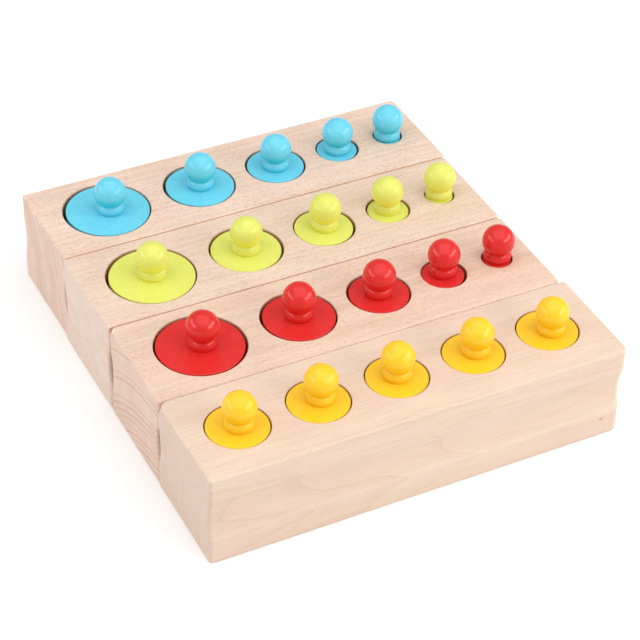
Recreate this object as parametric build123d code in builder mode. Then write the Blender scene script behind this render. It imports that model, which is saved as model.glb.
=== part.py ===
from build123d import *
from dataclasses import dataclass
import math
import os

# Knobbed cylinder blocks: four beech blocks in a row, each with five painted cylinders
# that stand loose in blind sockets, and a turned knob glued into every cylinder.
# Frame: X along the blocks with the large cylinders at the low end, Y from the front
# block to the back one, Z up. The origin is the bottom centre of the row. Millimetres.

# Blocks, whose length follows from the graded sockets and the wood between them. The
# front one is a little longer, and two stand a little off the line of the others' ends.
block_width = 62.5
block_height = 54.0
block_gap = 0.3
yellow_extra_length = 2.9
yellow_end_shift = -0.4
blue_end_shift = 0.9
arris_radius = 1.0
socket_edge_radius = 0.35

# Upright corners of the blocks, rounded by hand sanding, so they differ
sharp_corner_radius = 1.6
right_corner_radius = 2.6
front_corner_radius = 2.0
soft_corner_radius = 3.0
round_corner_radius = 4.0

# Upper corners that were sanded rounder than the upright edge below them
sanded_corner_radius = 5.4
well_sanded_corner_radius = 7.0
sanded_corner_depth = 9.0

# Finger groove along both long sides of each block
groove_height = 27.0
groove_depth = 2.2
groove_blend_radius = 5.5

# Cylinders whose diameter falls along the block. The middle one is as thick as those of
# the front block. The webs are the wood between one socket and the next.
graded_large_diameter = 45.6
graded_small_diameter = 15.1
graded_large_clearance = 1.3
graded_small_clearance = 0.8
graded_left_margin = 13.0
graded_right_margin = 11.9
graded_first_web = 10.7
graded_second_web = 9.4
graded_third_web = 9.6
graded_fourth_web = 11.6

# Cylinders of one diameter, in the front block
equal_diameter = 31.9
equal_clearance = 0.6
equal_left_margin = 12.2
equal_right_margin = 12.9

# Heights of the cylinders and how far their tops lie below the block's top. The tall
# ones follow from the block's height and the wood under the deepest socket.
short_height = 15.0
socket_floor = 8.6
shallow_recess = 0.4
deep_recess = 0.9
cylinder_edge_radius = 0.5

# Knob, measured up from the cylinder's top: a rounded collar, a crease and a ball
ball_diameter = 17.4
crease_diameter = 12.4
collar_height = 5.4
collar_bulge = 1.3
collar_belly_share = 0.43
foot_inset = 0.6
foot_edge_radius = 0.3
crease_fillet_radius = 0.4
knob_wander = 2.0

# Tenon under the knob, glued into the cylinder
tenon_diameter = 6.0
tenon_length = 8.0
tenon_side_clearance = 0.05
tenon_end_clearance = 0.6
tenon_chamfer = 0.6

SOCKETS = 5


def stepped(first, last):
    """Return one value for each socket, in even steps from first to last."""
    step = (last - first) / (SOCKETS - 1)
    return [first + step * index for index in range(SOCKETS)]


def bores_for(diameters, clearances):
    """Return the bore that each cylinder stands in with its clearance all round."""
    return [diameter + 2 * clearance for diameter, clearance in zip(diameters, clearances)]


@dataclass
class Row:
    """One block with its cylinders, listed from the left end to the right end.

    The stand shares say where a cylinder stands in its socket, as shares of its
    clearance along X and Y, because the cylinders are loose. The knob shares say how far
    off its cylinder's middle each knob is glued, as shares of the knob wander.
    """

    colour: str
    diameters: list
    clearances: list
    heights: list
    recesses: list
    stand_shares: list
    knob_shares: list
    margins: tuple
    webs: list
    corner_radii: dict
    sanded_radii: dict
    end_shift: float

    def socket_diameters(self):
        """Return the bore of each socket."""
        return bores_for(self.diameters, self.clearances)

    def socket_places(self):
        """Return each socket's centre, measured from the block's left end."""
        places = []
        edge = self.margins[0]
        for bore, web in zip(self.socket_diameters(), [*self.webs, 0]):
            places.append(edge + bore / 2)
            edge += bore + web
        return places

    def length(self):
        """Return the block's length, which is its margins, sockets and webs."""
        return sum(self.margins) + sum(self.socket_diameters()) + sum(self.webs)


graded_diameters = stepped(graded_large_diameter, graded_small_diameter)
graded_diameters[SOCKETS // 2] = equal_diameter
graded_clearances = stepped(graded_large_clearance, graded_small_clearance)
graded_bores = bores_for(graded_diameters, graded_clearances)
graded_margins = (graded_left_margin, graded_right_margin)
graded_webs = [graded_first_web, graded_second_web, graded_third_web, graded_fourth_web]
block_length = sum(graded_margins) + sum(graded_bores) + sum(graded_webs)

equal_diameters = [equal_diameter] * SOCKETS
equal_clearances = [equal_clearance] * SOCKETS
equal_bores = bores_for(equal_diameters, equal_clearances)
equal_margins = (equal_left_margin, equal_right_margin)
equal_solid = block_length + yellow_extra_length - sum(equal_margins) - sum(equal_bores)
equal_webs = [equal_solid / (SOCKETS - 1)] * (SOCKETS - 1)

tall_height = block_height - shallow_recess - socket_floor
falling_heights = stepped(tall_height, short_height)
rising_heights = stepped(short_height, tall_height)
even_heights = [tall_height] * SOCKETS
even_recesses = [shallow_recess] * SOCKETS
centred_shares = [(0, 0)] * SOCKETS

rows = [
    Row(
        colour="yellow",
        diameters=equal_diameters,
        clearances=equal_clearances,
        heights=falling_heights,
        recesses=even_recesses,
        stand_shares=centred_shares,
        knob_shares=[(0.48, 0.04), (0.9, 0.7), (0.26, 0.48), (0.95, 0.4), (0.8, -0.36)],
        margins=equal_margins,
        webs=equal_webs,
        corner_radii={
            "front_left": front_corner_radius,
            "back_left": sharp_corner_radius,
            "front_right": round_corner_radius,
            "back_right": right_corner_radius,
        },
        sanded_radii={"back_left": well_sanded_corner_radius},
        end_shift=yellow_end_shift,
    ),
    Row(
        colour="red",
        diameters=graded_diameters,
        clearances=graded_clearances,
        heights=even_heights,
        recesses=even_recesses,
        stand_shares=[(-0.1, 0), (0.25, -0.2), (0.1, -0.2), (-0.7, 0), (0, 0)],
        knob_shares=[(0.72, 0.24), (0.12, 0.54), (0, 0.32), (0.46, 0.86), (0.24, 0.32)],
        margins=graded_margins,
        webs=graded_webs,
        corner_radii={
            "front_left": sharp_corner_radius,
            "back_left": soft_corner_radius,
            "front_right": right_corner_radius,
            "back_right": right_corner_radius,
        },
        sanded_radii={"back_left": sanded_corner_radius},
        end_shift=0,
    ),
    Row(
        colour="lime",
        diameters=graded_diameters,
        clearances=graded_clearances,
        heights=rising_heights,
        recesses=[shallow_recess, deep_recess, shallow_recess, deep_recess, shallow_recess],
        stand_shares=[(0.3, -0.3), (-0.1, 0), (-0.4, 0), (0.1, 0), (-0.3, 0)],
        knob_shares=[(0.24, 0.32), (0.1, 0.18), (0.54, 0.5), (-0.02, 0.78), (0.08, 0.4)],
        margins=graded_margins,
        webs=graded_webs,
        corner_radii={
            "front_left": sharp_corner_radius,
            "back_left": sharp_corner_radius,
            "front_right": right_corner_radius,
            "back_right": right_corner_radius,
        },
        sanded_radii={},
        end_shift=0,
    ),
    Row(
        colour="blue",
        diameters=graded_diameters,
        clearances=graded_clearances,
        heights=falling_heights,
        recesses=even_recesses,
        stand_shares=[(0.45, -0.1), (0.4, 0), (0.1, 0), (-0.25, 0), (0, 0.2)],
        knob_shares=[(0.7, -0.24), (0.16, 0.2), (-0.1, -0.18), (-0.04, -0.2), (-0.24, -0.14)],
        margins=graded_margins,
        webs=graded_webs,
        corner_radii={
            "front_left": sharp_corner_radius,
            "back_left": sharp_corner_radius,
            "front_right": right_corner_radius,
            "back_right": right_corner_radius,
        },
        sanded_radii={},
        end_shift=blue_end_shift,
    ),
]

row_pitch = block_width + block_gap
set_width = row_pitch * len(rows) - block_gap
lowest_end = min(row.end_shift for row in rows)
highest_end = max(row.end_shift + row.length() for row in rows)


def left_end(row):
    """Return the X of a block's left end."""
    return row.end_shift - (lowest_end + highest_end) / 2


def row_middle(index):
    """Return the Y of a block's middle plane."""
    return -set_width / 2 + block_width / 2 + row_pitch * index


def groove_outline():
    """Return the groove's half height, and the depth and reach of its lip arcs.

    The groove is one long hollow arc with a short swelling arc at each lip, and all
    of them meet smoothly.
    """
    half = groove_height / 2
    arc_radius = (half**2 + groove_depth**2) / (2 * groove_depth) - groove_blend_radius
    share = groove_blend_radius / (arc_radius + groove_blend_radius)
    return half, groove_depth * share, half * (1 - share)


def block_profile(left, front, back):
    """Return a block's end as a face, grooves included, on its left plane."""
    half, lip_depth, lip_reach = groove_outline()
    middle = block_height / 2
    with BuildSketch(Plane((left, 0, 0), x_dir=(0, 1, 0), z_dir=(1, 0, 0))) as profile:
        with BuildLine():
            for face, inward in ((back, -1), (front, 1)):
                low = (face, middle - half)
                low_lip = (face + inward * lip_depth, middle - lip_reach)
                deep = (face + inward * groove_depth, middle)
                high_lip = (face + inward * lip_depth, middle + lip_reach)
                high = (face, middle + half)
                Line((face, 0), low)
                TangentArc(low, low_lip, tangent=(0, 1))
                ThreePointArc(low_lip, deep, high_lip)
                TangentArc(high, high_lip, tangent=(0, -1))
                Line(high, (face, block_height))
            Line((front, 0), (back, 0))
            Line((front, block_height), (back, block_height))
        make_face()
    return profile.sketch


def corner_edges(part, x, y):
    """Return the upright edges of a block nearest to one corner."""
    near = block_width / 4
    edges = part.edges().filter_by(Axis.X, reverse=True).filter_by(Axis.Y, reverse=True)
    return edges.filter_by(lambda edge: math.dist(tuple(edge.center())[:2], (x, y)) < near)


def sanding_waste(corner_x, corner_y, radius, x, y):
    """Return what sanding takes off one upper corner of a block.

    It leaves a cone about the upright axis through x and y, as wide at its foot as a
    sharp corner reaches, so the rounding fades out down the upright edge.
    """
    floor = block_height - sanded_corner_depth
    reach = radius * math.sqrt(2)
    with BuildPart() as waste:
        with BuildSketch(Plane(((corner_x + x) / 2, (corner_y + y) / 2, floor))):
            Rectangle(radius, radius)
        extrude(amount=sanded_corner_depth)
        upward = (Align.CENTER, Align.CENTER, Align.MIN)
        with Locations((x, y, floor)):
            Cone(reach, radius, sanded_corner_depth, align=upward, mode=Mode.SUBTRACT)
    return waste.part


def make_block(row, index):
    """Build one beech block with its sockets."""
    left = left_end(row)
    right = left + row.length()
    middle = row_middle(index)
    front = middle - block_width / 2
    back = middle + block_width / 2
    corners = {
        "front_left": (left, front),
        "back_left": (left, back),
        "front_right": (right, front),
        "back_right": (right, back),
    }
    with BuildPart() as block:
        extrude(block_profile(left, front, back), amount=row.length())
        for name, (x, y) in corners.items():
            fillet(corner_edges(block, x, y), radius=row.corner_radii[name])
        rims = block.faces().sort_by(Axis.Z)
        fillet(rims[-1].edges() + rims[0].edges(), radius=arris_radius)
        for name, radius in row.sanded_radii.items():
            x, y = corners[name]
            inner_x = x + math.copysign(radius, left + right - 2 * x)
            inner_y = y + math.copysign(radius, middle - y)
            add(sanding_waste(x, y, radius, inner_x, inner_y), mode=Mode.SUBTRACT)
        bores = zip(row.socket_places(), row.socket_diameters(), row.heights, row.recesses)
        for place, bore, height, recess in bores:
            floor = block_height - height - recess
            with BuildSketch(Plane((left + place, middle, floor))):
                Circle(bore / 2)
            extrude(amount=height + recess, mode=Mode.SUBTRACT)
        top = block.faces().sort_by(Axis.Z)[-1]
        fillet(top.inner_wires().edges(), radius=socket_edge_radius)
    return block.part


def make_cylinder(x, y, floor, diameter, height, knob_x, knob_y):
    """Build one painted cylinder that stands on its socket's floor."""
    hole_depth = tenon_length + tenon_end_clearance
    with BuildPart() as cylinder:
        with BuildSketch(Plane((x, y, floor))):
            Circle(diameter / 2)
        extrude(amount=height)
        fillet(cylinder.edges().filter_by(GeomType.CIRCLE), radius=cylinder_edge_radius)
        with BuildSketch(Plane((knob_x, knob_y, floor + height - hole_depth))):
            Circle(tenon_diameter / 2 + tenon_side_clearance)
        extrude(amount=hole_depth, mode=Mode.SUBTRACT)
    return cylinder.part


def make_knob(x, y, seat):
    """Build one turned knob: ball, crease and collar above its tenon."""
    ball = ball_diameter / 2
    crease = crease_diameter / 2
    belly = crease + collar_bulge
    foot = belly - foot_inset
    tenon = tenon_diameter / 2
    ball_middle = collar_height + math.sqrt(ball**2 - crease**2)
    knob_height = ball_middle + ball
    crease_angle = -math.degrees(math.acos(crease / ball))
    upright = Plane((x, y, seat), x_dir=(1, 0, 0), z_dir=(0, -1, 0))
    with BuildPart() as knob:
        with BuildSketch(upright):
            with BuildLine():
                Line((0, -tenon_length), (tenon - tenon_chamfer, -tenon_length))
                Line((tenon - tenon_chamfer, -tenon_length), (tenon, -tenon_length + tenon_chamfer))
                Line((tenon, -tenon_length + tenon_chamfer), (tenon, 0))
                Line((tenon, 0), (foot, 0))
                belly_point = (belly, collar_height * collar_belly_share)
                ThreePointArc((foot, 0), belly_point, (crease, collar_height))
                CenterArc((0, ball_middle), ball, crease_angle, 90 - crease_angle)
                Line((0, knob_height), (0, -tenon_length))
            make_face()
        revolve(axis=Axis((x, y, seat), (0, 0, 1)))
        rings = knob.edges().filter_by(GeomType.CIRCLE)
        creases = rings.filter_by(lambda edge: abs(edge.radius - crease) < crease_fillet_radius)
        fillet(creases, radius=crease_fillet_radius)
        feet = knob.edges().filter_by(GeomType.CIRCLE)
        feet = feet.filter_by(lambda edge: abs(edge.radius - foot) < foot_edge_radius)
        feet = feet.filter_by(lambda edge: abs(edge.center().Z - seat) < foot_edge_radius)
        fillet(feet, radius=foot_edge_radius)
    return knob.part


def save(part, name):
    """Label one finished piece and write it as a STEP file."""
    part.label = name
    export_step(part, f"parts/{name}.step")


os.makedirs("parts", exist_ok=True)

for index, row in enumerate(rows):
    save(make_block(row, index), f"{row.colour}_block")
    for number in range(SOCKETS):
        stand_x, stand_y = row.stand_shares[number]
        knob_x, knob_y = row.knob_shares[number]
        clearance = row.clearances[number]
        x = left_end(row) + row.socket_places()[number] + stand_x * clearance
        y = row_middle(index) + stand_y * clearance
        knob_x = x + knob_x * knob_wander
        knob_y = y + knob_y * knob_wander
        height = row.heights[number]
        diameter = row.diameters[number]
        seat = block_height - row.recesses[number]
        cylinder = make_cylinder(x, y, seat - height, diameter, height, knob_x, knob_y)
        save(cylinder, f"{row.colour}_cylinder_{number + 1}")
        save(make_knob(knob_x, knob_y, seat), f"{row.colour}_knob_{number + 1}")
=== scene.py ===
import logging
import math
from dataclasses import dataclass
from enum import Enum
from typing import Any, Mapping, Optional, Sequence, Union

import bpy
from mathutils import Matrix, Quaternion, Vector


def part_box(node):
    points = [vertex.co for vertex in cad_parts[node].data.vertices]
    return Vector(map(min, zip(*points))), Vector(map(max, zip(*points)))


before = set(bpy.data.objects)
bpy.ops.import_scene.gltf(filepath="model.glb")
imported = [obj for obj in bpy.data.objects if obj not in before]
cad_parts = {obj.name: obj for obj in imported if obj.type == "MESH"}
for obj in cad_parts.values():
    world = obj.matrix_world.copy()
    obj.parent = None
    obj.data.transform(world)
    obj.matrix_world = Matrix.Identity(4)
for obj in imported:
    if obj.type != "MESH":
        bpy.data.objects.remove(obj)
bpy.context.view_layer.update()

# The knobbed cylinder blocks, dressed in bare beech and satin paint. Metres, in the
# CAD frame: X along the blocks, Y from the front block to the back one, Z up.
# The finishes count in millimetres.

MILLIMETRES = 1000.0
MM = 0.001
PEGS = 5
NOISE_MEAN = (0.5, 0.5, 0.5)
SEED_STEP = (37.0, 11.0, 5.0)
# A Mix node has a set of sockets for each kind of value. These are the ones for colours.
MIX_SHARE = 0
MIX_FIRST = 6
MIX_SECOND = 7
MIX_RESULT = 2

Colour = tuple[float, float, float]
Place = tuple[float, float, float]
Span = tuple[float, float, float]
Limits = tuple[float, float]
log = logging.getLogger("cylinder_blocks")


class Paint(Enum):
    """The four paints, each named after its row, from the front row to the back one."""

    YELLOW = "yellow"
    RED = "red"
    LIME = "lime"
    BLUE = "blue"


class Wire:
    """One output of a shader node. Arithmetic on it adds Math nodes."""

    def __init__(self, board: "Board", socket: bpy.types.NodeSocket) -> None:
        """Wrap a socket.

        Args:
            board: the node tree that the socket belongs to.
            socket: the output socket.
        """
        self.board = board
        self.socket = socket

    def __add__(self, other: "Value") -> "Wire":
        """Return self + other."""
        return self.board.maths("ADD", self, other)

    def __radd__(self, other: "Value") -> "Wire":
        """Return other + self."""
        return self.board.maths("ADD", other, self)

    def __sub__(self, other: "Value") -> "Wire":
        """Return self - other."""
        return self.board.maths("SUBTRACT", self, other)

    def __rsub__(self, other: "Value") -> "Wire":
        """Return other - self."""
        return self.board.maths("SUBTRACT", other, self)

    def __mul__(self, other: "Value") -> "Wire":
        """Return self * other."""
        return self.board.maths("MULTIPLY", self, other)

    def __rmul__(self, other: "Value") -> "Wire":
        """Return other * self."""
        return self.board.maths("MULTIPLY", other, self)

    def __truediv__(self, other: "Value") -> "Wire":
        """Return self / other."""
        return self.board.maths("DIVIDE", self, other)


Value = Union[Wire, float]
Input = Union[Wire, float, Sequence[float]]


class Board:
    """The node tree of one material or of the world, with short ways to add to it."""

    def __init__(self, owner: Union[bpy.types.Material, bpy.types.World]) -> None:
        """Empty the owner's node tree.

        Args:
            owner: the material or the world.
        """
        owner.use_nodes = True
        self.owner = owner
        self.tree = owner.node_tree
        self.tree.nodes.clear()

    def add(
        self,
        kind: str,
        settings: Optional[Mapping[str, Any]] = None,
        inputs: Optional[Mapping[Union[str, int], Input]] = None,
    ) -> bpy.types.Node:
        """Add a node.

        Args:
            kind: the node's type.
            settings: its own settings, which are set first.
            inputs: the value or wire for each socket, by name or index.

        Returns:
            The node.
        """
        node = self.tree.nodes.new(kind)
        for name, setting in (settings or {}).items():
            setattr(node, name, setting)
        for key, value in (inputs or {}).items():
            if isinstance(value, Wire):
                self.tree.links.new(value.socket, node.inputs[key])
            else:
                node.inputs[key].default_value = value
        return node

    def wire(self, node: bpy.types.Node, output: Union[str, int] = 0) -> Wire:
        """Return one output of a node as a wire."""
        return Wire(self, node.outputs[output])

    def maths(self, operation: str, *values: Value) -> Wire:
        """Return the result of a Math node on the values."""
        inputs = dict(enumerate(values))
        return self.wire(self.add("ShaderNodeMath", {"operation": operation}, inputs))

    def vector(self, operation: str, *values: Input, output: str = "Vector") -> Wire:
        """Return one output of a Vector Math node on the values.

        Args:
            operation: the node's operation.
            values: its inputs, in order.
            output: the output to return.

        Returns:
            The output.
        """
        inputs = dict(enumerate(values))
        node = self.add("ShaderNodeVectorMath", {"operation": operation}, inputs)
        return self.wire(node, output)

    def joined(self, x: Value, y: Value, z: Value) -> Wire:
        """Return a vector made of three values."""
        return self.wire(self.add("ShaderNodeCombineXYZ", None, {0: x, 1: y, 2: z}))

    def parts_of(self, vector: Wire) -> tuple[Wire, Wire, Wire]:
        """Return a vector's three values."""
        node = self.add("ShaderNodeSeparateXYZ", None, {0: vector})
        return self.wire(node, 0), self.wire(node, 1), self.wire(node, 2)

    def step(self, value: Value, low: float, high: float) -> Wire:
        """Make a smooth step.

        Args:
            value: what the step depends on.
            low: where it is 0.
            high: where it is 1, above or below low.

        Returns:
            The step.
        """
        node = self.add(
            "ShaderNodeMapRange",
            {"interpolation_type": "SMOOTHSTEP"},
            {"Value": value, "From Min": low, "From Max": high, "To Min": 0.0, "To Max": 1.0},
        )
        return self.wire(node)

    def noise(self, place: Wire, detail: float = 2.0, roughness: float = 0.5) -> Wire:
        """Make soft noise from 0 to 1.

        Args:
            place: where, with a unit as long as one grain of the noise.
            detail: how many finer layers it has.
            roughness: how strong they are.

        Returns:
            The noise.
        """
        inputs = {"Vector": place, "Scale": 1.0, "Detail": detail, "Roughness": roughness}
        return self.wire(self.add("ShaderNodeTexNoise", {"noise_dimensions": "3D"}, inputs))

    def mix(self, share: Value, low: Input, high: Input, mode: str = "MIX") -> Wire:
        """Mix two colours.

        Args:
            share: how much of the second colour there is, from 0 to 1.
            low: the first colour.
            high: the second colour.
            mode: how the second one goes onto the first.

        Returns:
            The colour.
        """
        settings = {"data_type": "RGBA", "blend_type": mode}
        inputs = {MIX_SHARE: share, MIX_FIRST: opaque(low), MIX_SECOND: opaque(high)}
        return self.wire(self.add("ShaderNodeMix", settings, inputs), MIX_RESULT)

    def scaled(self, vector: Input, factor: Value) -> Wire:
        """Return a vector or colour times one number."""
        inputs = {0: vector, "Scale": factor}
        return self.wire(self.add("ShaderNodeVectorMath", {"operation": "SCALE"}, inputs))

    def bump(self, height: Wire, depth: float, strength: float) -> Wire:
        """Make a relief.

        Args:
            height: the relief, from 0 to 1.
            depth: its depth in metres.
            strength: how much of it shows.

        Returns:
            The normal that follows it.
        """
        inputs = {"Height": height, "Distance": depth, "Strength": strength}
        return self.wire(self.add("ShaderNodeBump", None, inputs))

    def surface(self, inputs: Mapping[str, Input]) -> bpy.types.Material:
        """Close the material with a Principled shader.

        Args:
            inputs: the value or wire for each of the shader's sockets.

        Returns:
            The material.
        """
        shader = self.add("ShaderNodeBsdfPrincipled", None, inputs)
        self.add("ShaderNodeOutputMaterial", None, {"Surface": self.wire(shader)})
        return self.owner


def opaque(colour: Input) -> Input:
    """Return a colour with full alpha, or the wire as it is."""
    return colour if isinstance(colour, Wire) else (*colour, 1.0)


@dataclass(frozen=True)
class Knot:
    """A pin knot on a face of a block: a dark core, and a halo where the rings rise.

    The core is full out to the solid share of its radius, and then fades.
    """

    place: Place
    core: float = 0.9
    core_edge: float = 0.5
    solid: float = 0.4
    halo: float = 5.5
    lift: float = 2.2
    oval: Span = (1.5, 1.0, 1.0)
    tint: Colour = (0.36, 0.20, 0.12)
    share: float = 0.85


@dataclass(frozen=True)
class Beech:
    """Bare sanded beech, cut from its own place in the log.

    The rings run round a pith that lies along X, outside the block, and the rays run
    out from it, so that every face and both ends show the same wood. A span is the
    length of one grain of a texture along X, Y and Z. Limits are where a smooth step
    starts and ends. A share says how strongly a mark shows, a weight how much a texture
    adds to it, and a dip how far it sinks into the surface.
    """

    name: str
    seed: float
    pith: tuple[float, float]
    ring_pitch: float = 3.1
    slope: float = 0.02
    wander: float = 9.0
    kink: float = 1.4
    pale: Colour = (0.800, 0.610, 0.485)
    warm: Colour = (0.765, 0.555, 0.425)
    pink: Colour = (0.790, 0.575, 0.465)
    end_tint: Colour = (0.96, 0.96, 1.0)
    ring_tint: Colour = (0.80, 0.70, 0.64)
    ray_tint: Colour = (0.75, 0.64, 0.56)
    pore_tint: Colour = (0.72, 0.60, 0.52)
    # Painted shade for the walls and floors of the sockets.
    socket_shade_tint: Colour = (0.70, 0.46, 0.28)
    # Painted shade for the top edges that face a neighbouring block.
    seam_shade_tint: Colour = (0.78, 0.55, 0.40)
    pink_share: float = 0.8
    line_share: float = 0.4
    ring_share: float = 0.35
    end_ring_share: float = 0.50
    ray_share: float = 0.48
    end_ray_share: float = 0.20
    fibre_share: float = 0.10
    end_fibre_loss: float = 0.5
    pore_share: float = 0.18
    fine_fibre_weight: float = 0.55
    coarse_fibre_weight: float = 0.45
    pore_clump_weight: float = 0.25
    fibre_dip: float = 0.5
    ray_dip: float = 0.4
    pore_dip: float = 0.5
    ring_dip: float = 0.25
    year_step: float = 0.71
    drift_detail: float = 1.5
    tone_span: Span = (90.0, 11.0, 11.0)
    pink_span: Span = (130.0, 17.0, 17.0)
    drift_span: Span = (85.0, 48.0, 48.0)
    kink_span: Span = (60.0, 9.0, 9.0)
    fine_fibre_span: Span = (14.0, 0.7, 0.7)
    coarse_fibre_span: Span = (42.0, 2.1, 2.1)
    pore_span: Span = (2.6, 0.34, 0.34)
    pore_clump_span: Span = (30.0, 5.0, 5.0)
    ray_span: Span = (3.2, 0.75, 6.0)
    tone_limits: Limits = (0.35, 0.65)
    pink_limits: Limits = (0.42, 0.68)
    shade_limits: Limits = (0.40, 0.95)
    line_limits: Limits = (0.90, 0.965)
    fall_limits: Limits = (0.965, 1.0)
    strength_limits: Limits = (0.2, 0.8)
    ray_limits: Limits = (0.12, 0.45)
    fibre_limits: Limits = (0.38, 0.64)
    pore_limits: Limits = (0.62, 0.80)
    end_limits: Limits = (0.55, 0.85)
    roughness: float = 0.50
    fibre_roughness: float = 0.12
    end_roughness: float = 0.10
    refraction: float = 1.45
    gloss: float = 0.32
    relief: float = 0.05
    relief_strength: float = 0.6
    socket_wall: float = 3.2
    socket_floor: float = 3.0
    socket_fade: float = 1.0
    socket_rim: float = 0.3
    socket_rim_fade: float = 1.5
    seam_height: Limits = (6.0, 1.0)
    seam_depth: float = 0.5
    front_seam: bool = True
    back_seam: bool = True
    knot: Optional[Knot] = None

    def material(self, low: Vector, high: Vector) -> bpy.types.Material:
        """Make the finish for one block.

        Args:
            low: the block's low corner, in metres.
            high: the block's high corner, in metres.

        Returns:
            The material.
        """
        board = Board(bpy.data.materials.new(self.name))
        coordinates = board.add("ShaderNodeTexCoord")
        place = board.scaled(board.wire(coordinates, "Object"), MILLIMETRES)
        here = board.vector("SUBTRACT", place, tuple((low + high) * 0.5 * MILLIMETRES))
        half = (high - low) * 0.5 * MILLIMETRES
        along, ring, arc, reach = self._log_coordinates(board, here, place)
        end = self._end_mask(board, board.wire(coordinates, "Normal"))
        rings = self._rings(board, ring)
        rays = self._rays(board, along, arc, reach)
        fibres = self._fibres(board, here)
        pores = self._pores(board, here) * (1.0 - end)

        tone = board.noise(self._grain(board, here, self.tone_span), detail=3.0, roughness=0.55)
        blush = board.noise(self._grain(board, here, self.pink_span, turn=3.0))
        colour = board.mix(board.step(tone, *self.tone_limits), self.pale, self.warm)
        blush = board.step(blush, *self.pink_limits) * self.pink_share
        colour = board.mix(blush, colour, self.pink)
        share = end * (self.end_ring_share - self.ring_share) + self.ring_share
        colour = board.mix(rings * share, colour, self.ring_tint, "MULTIPLY")
        share = end * (self.end_ray_share - self.ray_share) + self.ray_share
        colour = board.mix(rays * share, colour, self.ray_tint, "MULTIPLY")
        fibre_shade = fibres * self.fibre_share * (1.0 - end * self.end_fibre_loss)
        colour = board.scaled(colour, 1.0 - fibre_shade)
        colour = board.mix(pores * self.pore_share, colour, self.pore_tint, "MULTIPLY")
        colour = board.mix(end, colour, self.end_tint, "MULTIPLY")
        if self.knot is not None:
            core = self._knot_mask(board, place, self.knot.core, self.knot.core_edge)
            colour = board.mix(core * self.knot.share, colour, self.knot.tint)
        # Painted shade darkens the walls and floors of the sockets.
        colour = board.mix(self._socket_shade_mask(board, here, half), colour, self.socket_shade_tint, "MULTIPLY")
        # Painted shade darkens the top edges that face a neighbouring block.
        colour = board.mix(self._seam_shade_mask(board, here, half), colour, self.seam_shade_tint, "MULTIPLY")

        height = fibres * -self.fibre_dip - rays * self.ray_dip
        height = height - pores * self.pore_dip - rings * self.ring_dip + 1.0
        return board.surface(
            {
                "Base Color": colour,
                "Roughness": fibres * self.fibre_roughness + end * self.end_roughness + self.roughness,
                "Normal": board.bump(height, self.relief * MM, self.relief_strength),
                "IOR": self.refraction,
                "Specular IOR Level": self.gloss,
            }
        )

    def _grain(self, board: Board, here: Wire, span: Span, turn: float = 0.0) -> Wire:
        """Work out a place in a texture.

        Args:
            board: the material.
            here: the point, from the block's middle.
            span: the length of one grain along X, Y and Z.
            turn: another start, so that two textures differ.

        Returns:
            The place, counted in grains.
        """
        start = tuple((self.seed + turn) * step for step in SEED_STEP)
        return board.vector("DIVIDE", board.vector("ADD", here, start), span)

    def _log_coordinates(
        self, board: Board, here: Wire, place: Wire
    ) -> tuple[Wire, Wire, Wire, Wire]:
        """Work out where a point lies in the log.

        Args:
            board: the material.
            here: the point, from the block's middle.
            place: the point, in the CAD frame.

        Returns:
            The place along the log, the ring number, the arc length and the radius.
        """
        start = self._grain(board, here, self.drift_span)
        inputs = {"Vector": start, "Scale": 1.0, "Detail": self.drift_detail}
        slow = board.add("ShaderNodeTexNoise", None, inputs)
        drift = board.vector("SUBTRACT", board.wire(slow, "Color"), NOISE_MEAN)
        _, drift_y, drift_z = board.parts_of(drift)
        along, y, z = board.parts_of(here)
        from_y = y - self.pith[0] + along * self.slope + drift_y * self.wander
        from_z = z - self.pith[1] + drift_z * self.wander
        reach = board.maths("SQRT", from_y * from_y + from_z * from_z)
        if self.knot is not None:
            halo = self._knot_mask(board, place, 0.0, self.knot.halo)
            reach = reach + halo * self.knot.lift
        arc = board.maths("ARCTAN2", from_z, from_y) * math.hypot(*self.pith)
        uneven = board.noise(self._grain(board, here, self.kink_span), detail=1.0) * self.kink
        return along, reach / self.ring_pitch + uneven, arc, reach

    def _knot_mask(self, board: Board, place: Wire, radius: float, edge: float) -> Wire:
        """Mark the knot.

        Args:
            board: the material.
            place: the point, in the CAD frame.
            radius: how far the mark reaches.
            edge: how far it fades beyond that.

        Returns:
            1 at the knot, falling to 0 around it.
        """
        offset = board.vector("SUBTRACT", place, self.knot.place)
        squashed = board.vector("DIVIDE", offset, self.knot.oval)
        distance = board.vector("LENGTH", squashed, output="Value")
        return 1.0 - board.step(distance, radius * self.knot.solid, radius + edge)

    def _socket_shade_mask(self, board: Board, here: Wire, half: Vector) -> Wire:
        """Mark the bare walls and floors of the sockets, which are darkened as painted shade for their
        depth.

        Args:
            board: the material.
            here: the point, from the block's middle.
            half: half the block's size.

        Returns:
            1 inside the sockets and 0 on the block's faces.
        """
        x, y, z = board.parts_of(here)
        fade = self.socket_fade
        end, side = half.x - self.socket_wall, half.y - self.socket_wall
        rim, floor = half.z - self.socket_rim, self.socket_floor - half.z
        ends = board.step(board.maths("ABSOLUTE", x), end, end - fade)
        sides = board.step(board.maths("ABSOLUTE", y), side, side - fade)
        below = board.step(z, rim, rim - self.socket_rim_fade)
        above = board.step(z, floor, floor + fade)
        return ends * sides * (below * above)

    def _seam_shade_mask(self, board: Board, here: Wire, half: Vector) -> Wire:
        """Mark the top edges that face a neighbouring block, darkened as painted shade for the gap between
        the blocks.

        Args:
            board: the material.
            here: the point, from the block's middle.
            half: half the block's size.

        Returns:
            1 on those edges and 0 elsewhere.
        """
        _, y, z = board.parts_of(here)
        lowest, highest = self.seam_height
        upper = board.step(z, half.z - lowest, half.z - highest)
        front = board.step(y, self.seam_depth - half.y, -half.y) * float(self.front_seam)
        back = board.step(y, half.y - self.seam_depth, half.y) * float(self.back_seam)
        return board.maths("MAXIMUM", front, back) * upper

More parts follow.
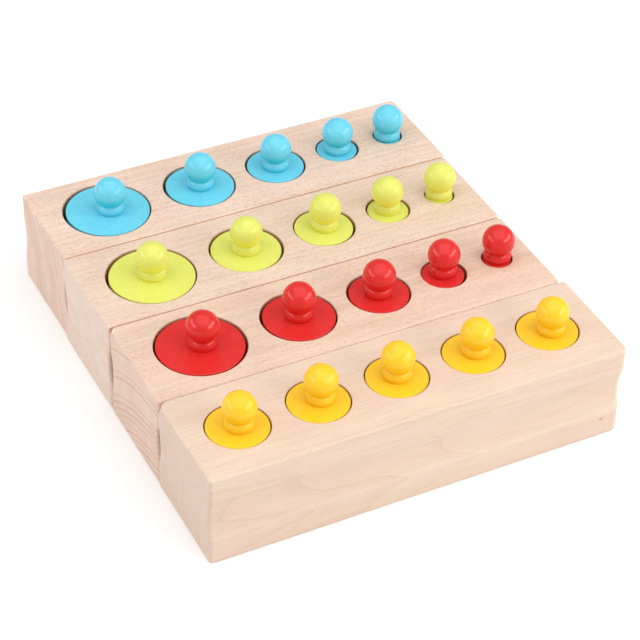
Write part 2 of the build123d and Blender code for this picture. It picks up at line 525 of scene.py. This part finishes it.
    def _rings(self, board: Board, ring: Wire) -> Wire:
        """Draw the year rings.

        Args:
            board: the material.
            ring: the ring number, with its fraction.

        Returns:
            A soft shade and a thin dark line at the end of each year's growth.
        """
        year = board.maths("FRACT", ring)
        fall = 1.0 - board.step(year, *self.fall_limits)
        shade = board.step(year, *self.shade_limits) * (1.0 - self.line_share)
        late = (shade + board.step(year, *self.line_limits) * self.line_share) * fall
        number = board.maths("FLOOR", ring)
        strength = board.noise(board.joined(number * self.year_step, self.seed, 0.0), detail=0.0)
        return late * board.step(strength, *self.strength_limits)

    def _rays(self, board: Board, along: Wire, arc: Wire, reach: Wire) -> Wire:
        """Draw the small lens-shaped ray flecks.

        Args:
            board: the material.
            along: the place along the log.
            arc: the arc length round the pith.
            reach: the distance from the pith.

        Returns:
            1 on a fleck and 0 between them.
        """
        place = board.vector("DIVIDE", board.joined(along, arc, reach), self.ray_span)
        inputs = {"Vector": place, "Scale": 1.0, "Randomness": 1.0}
        cells = board.add("ShaderNodeTexVoronoi", {"voronoi_dimensions": "3D"}, inputs)
        return 1.0 - board.step(board.wire(cells, "Distance"), *self.ray_limits)

    def _fibres(self, board: Board, here: Wire) -> Wire:
        """Draw fine streaks along the grain.

        Args:
            board: the material.
            here: the point, from the block's middle.

        Returns:
            1 on a streak and 0 between them.
        """
        fine = board.noise(self._grain(board, here, self.fine_fibre_span), roughness=0.6)
        coarse = board.noise(self._grain(board, here, self.coarse_fibre_span, turn=1.0))
        streaks = fine * self.fine_fibre_weight + coarse * self.coarse_fibre_weight
        return board.step(streaks, *self.fibre_limits)

    def _pores(self, board: Board, here: Wire) -> Wire:
        """Draw the short dark dashes of open pores.

        Args:
            board: the material.
            here: the point, from the block's middle.

        Returns:
            1 on a dash and 0 between them.
        """
        dashes = board.noise(self._grain(board, here, self.pore_span, turn=2.0), detail=1.0)
        clumps = board.noise(self._grain(board, here, self.pore_clump_span, turn=4.0), detail=1.0)
        return board.step(dashes + clumps * self.pore_clump_weight, *self.pore_limits)

    def _end_mask(self, board: Board, normal: Wire) -> Wire:
        """Return 1 on end grain and 0 on the long faces."""
        facing, _, _ = board.parts_of(normal)
        return board.step(board.maths("ABSOLUTE", facing), *self.end_limits)


@dataclass(frozen=True)
class SatinPaint:
    """Water-based satin paint on turned beech, with painted shade on the faces that turn downwards, most
    of all under the balls.
    """

    name: str
    colour: Colour
    thin: Colour
    # A deeper colour, painted as shade on the faces that turn downwards.
    underside_shade: Colour
    roughness: float = 0.18
    mottle_roughness: float = 0.10
    refraction: float = 1.50
    gloss: float = 0.32
    relief: float = 0.10
    relief_strength: float = 0.35
    turning_relief: float = 0.25
    grain_relief: float = 0.25
    mottle_weight: float = 0.6
    grain_weight: float = 0.4
    turning_pitch: float = 1.1
    grain_span: Span = (0.8, 0.8, 9.0)
    mottle_span: Span = (5.0, 5.0, 7.0)
    swell_span: Span = (3.4, 3.4, 3.4)
    thin_limits: Limits = (0.3, 0.75)
    underside_shade_limits: Limits = (0.25, -0.45)

    def material(self, label: str, axis: Vector) -> bpy.types.Material:
        """Make the finish for one turned piece.

        Args:
            label: the piece's name.
            axis: a point on the piece's turning axis, in metres.

        Returns:
            The material.
        """
        board = Board(bpy.data.materials.new(f"{self.name}_{label}"))
        coordinates = board.add("ShaderNodeTexCoord")
        place = board.scaled(board.wire(coordinates, "Object"), MILLIMETRES)
        x, y, z = board.parts_of(board.vector("SUBTRACT", place, tuple(axis * MILLIMETRES)))
        radius = board.maths("SQRT", x * x + y * y)
        lines = board.joined(radius * self.turning_pitch, z * self.turning_pitch, 0.0)
        turning = board.noise(lines, roughness=0.6)
        grain = board.noise(board.vector("DIVIDE", place, self.grain_span), roughness=0.6)
        mottle = board.noise(board.vector("DIVIDE", place, self.mottle_span))
        swell = board.noise(board.vector("DIVIDE", place, self.swell_span), detail=1.0)

        worn = board.step(mottle * self.mottle_weight + grain * self.grain_weight, *self.thin_limits)
        coat = board.mix(worn, self.colour, self.thin)
        _, _, rise = board.parts_of(board.wire(coordinates, "Normal"))
        # Painted shade: faces that turn downwards, most of all the undersides of the balls, get the deeper
        # colour.
        under = board.step(rise, *self.underside_shade_limits)
        height = turning * self.turning_relief + grain * self.grain_relief + swell
        return board.surface(
            {
                "Base Color": board.mix(under, coat, self.underside_shade),
                "Roughness": mottle * self.mottle_roughness + self.roughness,
                "Normal": board.bump(height, self.relief * MM, self.relief_strength),
                "IOR": self.refraction,
                "Specular IOR Level": self.gloss,
            }
        )


# The third colour of each paint is painted shade for the faces that turn downwards.
YELLOW_PAINT = SatinPaint(
    "yellow_paint",
    colour=(0.90, 0.545, 0.018),
    thin=(0.93, 0.590, 0.034),
    underside_shade=(0.92, 0.540, 0.008),
)
RED_PAINT = SatinPaint(
    "red_paint",
    colour=(0.65, 0.022, 0.020),
    thin=(0.70, 0.030, 0.027),
    underside_shade=(0.70, 0.015, 0.012),
)
LIME_PAINT = SatinPaint(
    "lime_paint",
    colour=(0.685, 0.715, 0.125),
    thin=(0.720, 0.745, 0.160),
    underside_shade=(0.830, 0.810, 0.082),
)
BLUE_PAINT = SatinPaint(
    "blue_paint",
    colour=(0.130, 0.570, 0.745),
    thin=(0.160, 0.620, 0.780),
    underside_shade=(0.045, 0.560, 0.720),
)

YELLOW_BEECH = Beech(
    "yellow_block_beech",
    seed=1.7,
    pith=(-96.0, -9.0),
    ring_pitch=2.6,
    slope=0.05,
    kink=0.35,
    pale=(0.775, 0.608, 0.482),
    warm=(0.755, 0.575, 0.443),
    pink=(0.750, 0.565, 0.455),
    end_tint=(0.92, 0.92, 0.96),
    line_share=0.55,
    ring_share=0.45,
    end_ring_share=0.15,
    ray_share=0.12,
    fibre_share=0.06,
    pore_share=0.10,
    front_seam=False,
    back_seam=False,
    knot=Knot(place=(105.2, -124.8, 11.3)),
)
RED_BEECH = Beech(
    "red_block_beech",
    seed=4.3,
    pith=(-38.0, -103.0),
    ring_pitch=3.7,
    wander=5.0,
    kink=0.5,
    line_share=0.2,
    end_ring_share=1.20,
    front_seam=False,
)
LIME_BEECH = Beech(
    "lime_block_beech",
    seed=7.9,
    pith=(90.0, -90.0),
    ring_pitch=2.9,
    slope=0.03,
    pale=(0.805, 0.632, 0.510),
    warm=(0.775, 0.582, 0.450),
    pink=(0.795, 0.600, 0.490),
    end_tint=(0.97, 1.01, 1.07),
    end_ray_share=0.24,
)
BLUE_BEECH = Beech(
    "blue_block_beech",
    seed=2.6,
    pith=(85.0, -25.0),
    ring_pitch=4.0,
    kink=0.8,
    pale=(0.825, 0.640, 0.515),
    warm=(0.800, 0.595, 0.465),
    pink=(0.820, 0.612, 0.500),
    end_tint=(0.94, 0.92, 0.96),
    line_share=0.2,
    end_ring_share=1.50,
    back_seam=False,
)


@dataclass
class Peg:
    """One painted cylinder and its knob, which lift out together."""

    paint: Paint
    number: int
    finish: SatinPaint

    def names(self) -> tuple[str, str]:
        """Return the names of the cylinder's node and the knob's node."""
        return (f"{self.paint.value}_cylinder_{self.number}", f"{self.paint.value}_knob_{self.number}")

    def build(self) -> None:
        """Paint the cylinder and the knob."""
        for name in self.names():
            low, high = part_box(name)
            axis = (low + high) / 2
            axis.z = high.z
            cover(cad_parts[name], self.finish.material(name, axis))
            log.info("%s painted", name)


@dataclass
class BlockRow:
    """One beech block with its five pegs."""

    paint: Paint
    wood: Beech
    finish: SatinPaint

    def build(self) -> None:
        """Dress the block, then its pegs from left to right."""
        name = f"{self.paint.value}_block"
        cover(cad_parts[name], self.wood.material(*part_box(name)))
        log.info("%s dressed in %s", name, self.wood.name)
        for number in range(1, PEGS + 1):
            Peg(self.paint, number, self.finish).build()


def cover(piece: bpy.types.Object, material: bpy.types.Material) -> None:
    """Give a piece one material in all its slots.

    Args:
        piece: the piece.
        material: its finish.
    """
    if not piece.material_slots:
        piece.data.materials.append(material)
    for slot in piece.material_slots:
        slot.material = material


@dataclass(frozen=True)
class Table:
    """The plain pale surface under the blocks, which the camera sees as white."""

    reach: float = 4.0
    drop: float = 0.0002
    colour: Colour = (0.86, 0.86, 0.86)
    lift: float = 0.12

    def build(self) -> None:
        """Build the surface."""
        mesh = bpy.data.meshes.new("table")
        reach = self.reach
        outline = ((-reach, -reach), (reach, -reach), (reach, reach), (-reach, reach))
        mesh.from_pydata([(x, y, -self.drop) for x, y in outline], [], [(0, 1, 2, 3)])
        table = bpy.data.objects.new("table", mesh)
        bpy.context.scene.collection.objects.link(table)
        board = Board(bpy.data.materials.new("table_white"))
        path = board.add("ShaderNodeLightPath")
        seen = board.maths("MAXIMUM", board.wire(path, "Is Camera Ray"), board.wire(path, "Is Glossy Ray"))
        diffuse = board.add("ShaderNodeBsdfDiffuse", None, {"Color": opaque(self.colour)})
        glow = board.add("ShaderNodeEmission", None, {"Strength": seen * self.lift})
        both = board.add("ShaderNodeAddShader", None, {0: board.wire(diffuse), 1: board.wire(glow)})
        board.add("ShaderNodeOutputMaterial", None, {"Surface": board.wire(both)})
        cover(table, board.owner)


@dataclass(frozen=True)
class Softbox:
    """One oblong studio light that faces the blocks."""

    name: str
    azimuth: float
    elevation: float
    distance: float
    width: float
    height: float
    power: float

    def build(self) -> None:
        """Hang the light."""
        data = bpy.data.lights.new(self.name, "AREA")
        data.shape = "RECTANGLE"
        data.size = self.width
        data.size_y = self.height
        data.energy = self.power
        light = bpy.data.objects.new(self.name, data)
        bpy.context.scene.collection.objects.link(light)
        direction = compass(self.azimuth, self.elevation)
        light.location = direction * self.distance
        light.rotation_mode = "QUATERNION"
        light.rotation_quaternion = direction.to_track_quat("Z", "Y")


LEFT_SOFTBOX = Softbox(
    "left_softbox", azimuth=-103.0, elevation=25.0, distance=1.5, width=1.8, height=0.30, power=8.2
)
RIGHT_SOFTBOX = Softbox(
    "right_softbox", azimuth=47.0, elevation=25.0, distance=1.5, width=1.8, height=0.44, power=13.7
)
TOP_SOFTBOX = Softbox(
    "top_softbox", azimuth=-20.0, elevation=82.0, distance=1.6, width=2.4, height=2.4, power=24.0
)


@dataclass(frozen=True)
class Studio:
    """The soft light of a product photograph on white."""

    sky: float = 0.50
    boxes: tuple[Softbox, ...] = (LEFT_SOFTBOX, RIGHT_SOFTBOX, TOP_SOFTBOX)

    def build(self) -> None:
        """Light the scene and make the backdrop white."""
        for box in self.boxes:
            box.build()
            log.info("%s lit", box.name)
        world = bpy.data.worlds.new("white_studio")
        bpy.context.scene.world = world
        board = Board(world)
        seen = board.wire(board.add("ShaderNodeLightPath"), "Is Camera Ray")
        strength = seen * (1.0 - self.sky) + self.sky
        backdrop = board.add("ShaderNodeBackground", None, {"Strength": strength})
        board.add("ShaderNodeOutputWorld", None, {"Surface": board.wire(backdrop)})


@dataclass(frozen=True)
class PhotoCamera:
    """The camera that took the photograph, solved from the blocks' edges and discs."""

    aim: Place = (-0.0015, -0.0129, 0.0300)
    distance: float = 1.1576
    azimuth: float = -28.07
    elevation: float = 39.21
    roll: float = 2.18
    lens: float = 123.1
    sensor: float = 36.0
    far: float = 20.0

    def build(self) -> None:
        """Set up the camera as the scene's own."""
        data = bpy.data.cameras.new("photo_camera")
        data.sensor_width = self.sensor
        data.lens = self.lens
        data.clip_end = self.far
        camera = bpy.data.objects.new("photo_camera", data)
        bpy.context.scene.collection.objects.link(camera)
        direction = compass(self.azimuth, self.elevation)
        camera.location = Vector(self.aim) + direction * self.distance
        turn = Quaternion((0.0, 0.0, 1.0), math.radians(self.roll))
        camera.rotation_mode = "QUATERNION"
        camera.rotation_quaternion = direction.to_track_quat("Z", "Y") @ turn
        bpy.context.scene.camera = camera


def compass(azimuth: float, elevation: float) -> Vector:
    """Return the direction from the blocks to a viewer.

    Args:
        azimuth: degrees round from the front, positive towards +X.
        elevation: degrees above the horizon.

    Returns:
        The unit vector.
    """
    turn, rise = math.radians(azimuth), math.radians(elevation)
    return Vector((math.sin(turn) * math.cos(rise), -math.cos(turn) * math.cos(rise), math.sin(rise)))


def main() -> None:
    """Build the studio and the four rows."""
    logging.basicConfig(level=logging.INFO, format="%(message)s")
    bpy.context.scene.view_settings.view_transform = "Standard"
    PhotoCamera().build()
    Studio().build()
    Table().build()
    rows = (
        BlockRow(Paint.YELLOW, YELLOW_BEECH, YELLOW_PAINT),
        BlockRow(Paint.RED, RED_BEECH, RED_PAINT),
        BlockRow(Paint.LIME, LIME_BEECH, LIME_PAINT),
        BlockRow(Paint.BLUE, BLUE_BEECH, BLUE_PAINT),
    )
    for row in rows:
        row.build()


if __name__ == "__main__":
    main()
